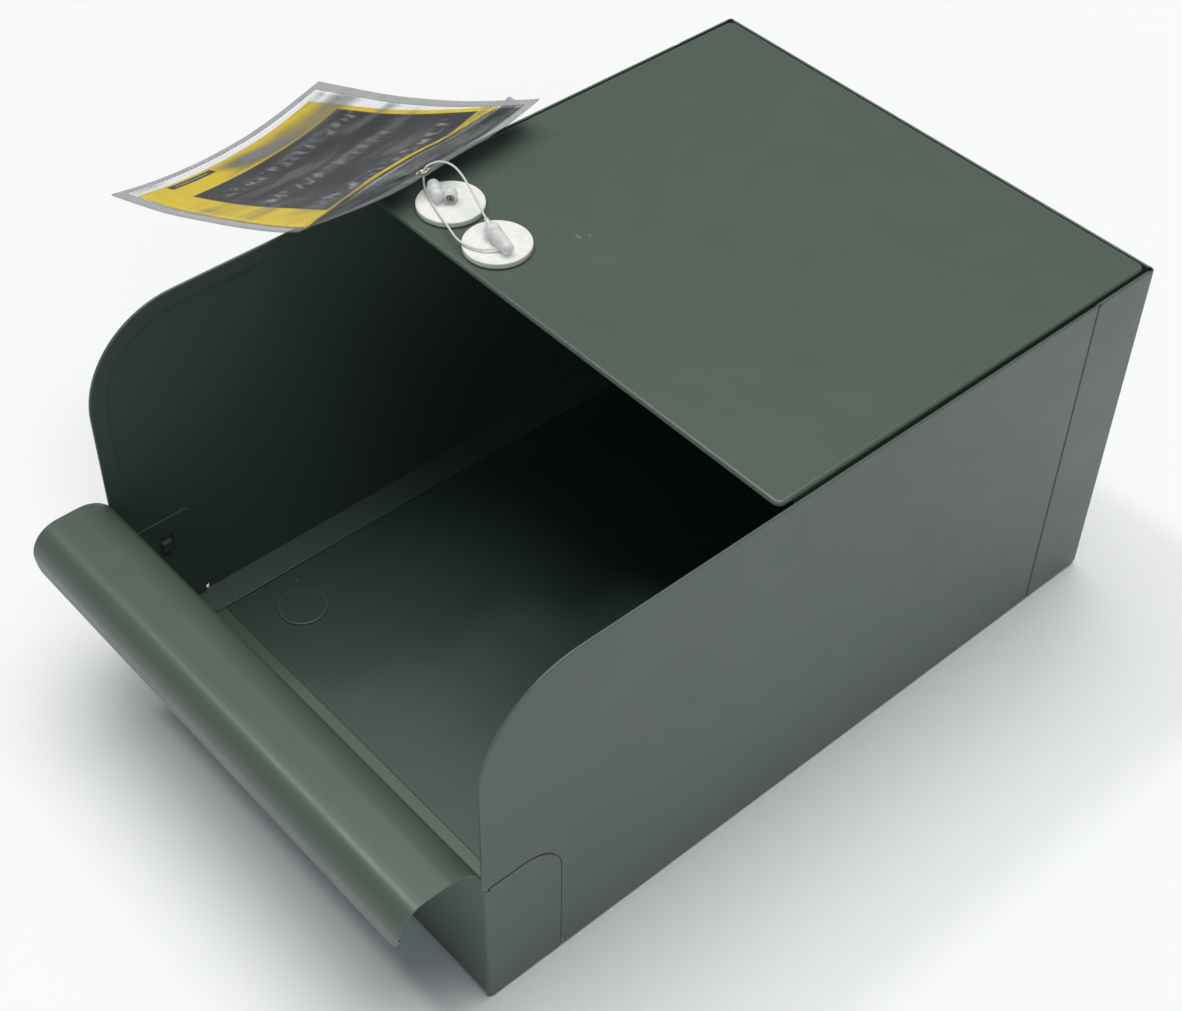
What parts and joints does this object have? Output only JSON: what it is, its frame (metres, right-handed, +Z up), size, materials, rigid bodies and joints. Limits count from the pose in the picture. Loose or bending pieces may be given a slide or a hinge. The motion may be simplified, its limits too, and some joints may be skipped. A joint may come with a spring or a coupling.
{
  "type": "book drop box",
  "caption": "Table-top book return box of folded steel with an open front mouth, a rolled lip, a rear-hinged lid and a tethered clear label pocket.",
  "frame": {"origin": "centre of the body's width at its front face, on the plane the feet rest on", "axes": "+Z up, +Y from the mouth to the rear panel, +X to the right seen from the front"},
  "size_m": [0.4665, 0.4781, 0.2328],
  "materials": {
    "body_steel": "satin grey-green powder coat with a fine texture",
    "hardware_steel": "satin grey-green coat over pressed steel",
    "pin_steel": "zinc plated, satin",
    "foot_rubber": "matte black rubber",
    "pad_rubber": "matte black rubber",
    "base_plastic": "matte white moulded plastic",
    "clip_plastic": "milky clear plastic",
    "elastic": "white covered elastic",
    "pocket_vinyl": "clear soft vinyl, glossy and slightly frosted",
    "card_stock": "printed card, dark grey field with a yellow border",
    "eyelet_metal": "plated brass"
  },
  "bodies": {
    "root": {"side_panel_left": "body_steel", "side_panel_right": "body_steel", "front_panel": "body_steel", "rear_panel": "body_steel", "floor_pan": "body_steel", "lock_plate_front_left": "hardware_steel", "lock_plate_front_right": "hardware_steel", "lock_plate_rear_left": "hardware_steel", "lock_plate_rear_right": "hardware_steel", "hinge_bracket_left": "hardware_steel", "hinge_bracket_right": "hardware_steel", "lid_rest_left": "hardware_steel", "lid_rest_right": "hardware_steel", "hinge_pin_left": "pin_steel", "hinge_pin_right": "pin_steel", "bracket_rivets": "pin_steel", "foot_front_left": "foot_rubber", "foot_front_right": "foot_rubber", "foot_rear_left": "foot_rubber", "foot_rear_right": "foot_rubber", "lid_rest_pad_left": "pad_rubber", "lid_rest_pad_right": "pad_rubber"},
    "lid_body": {"lid": "body_steel", "hinge_lug_left": "hardware_steel", "hinge_lug_right": "hardware_steel", "base_disc_left": "base_plastic", "base_disc_right": "base_plastic", "tether_clip_left": "clip_plastic", "tether_clip_right": "clip_plastic", "elastic_loop": "elastic"},
    "label_body": {"label_pocket": "pocket_vinyl", "label_card": "card_stock", "pocket_eyelet": "eyelet_metal"}
  },
  "joints": [
    {"name": "lid_hinge", "type": "hinge", "parent": "root", "child": "lid_body", "pos_m": [0, 0.421, 0.2074], "axis": [-1, 0, 0], "range_deg": [0, 105]},
    {"name": "label_flip", "type": "hinge", "parent": "lid_body", "child": "label_body", "pos_m": [-0.1304, 0.1928, 0.224], "axis": [-0.0785, 0.9969, 0], "range_deg": [0, 80]}
  ]
}
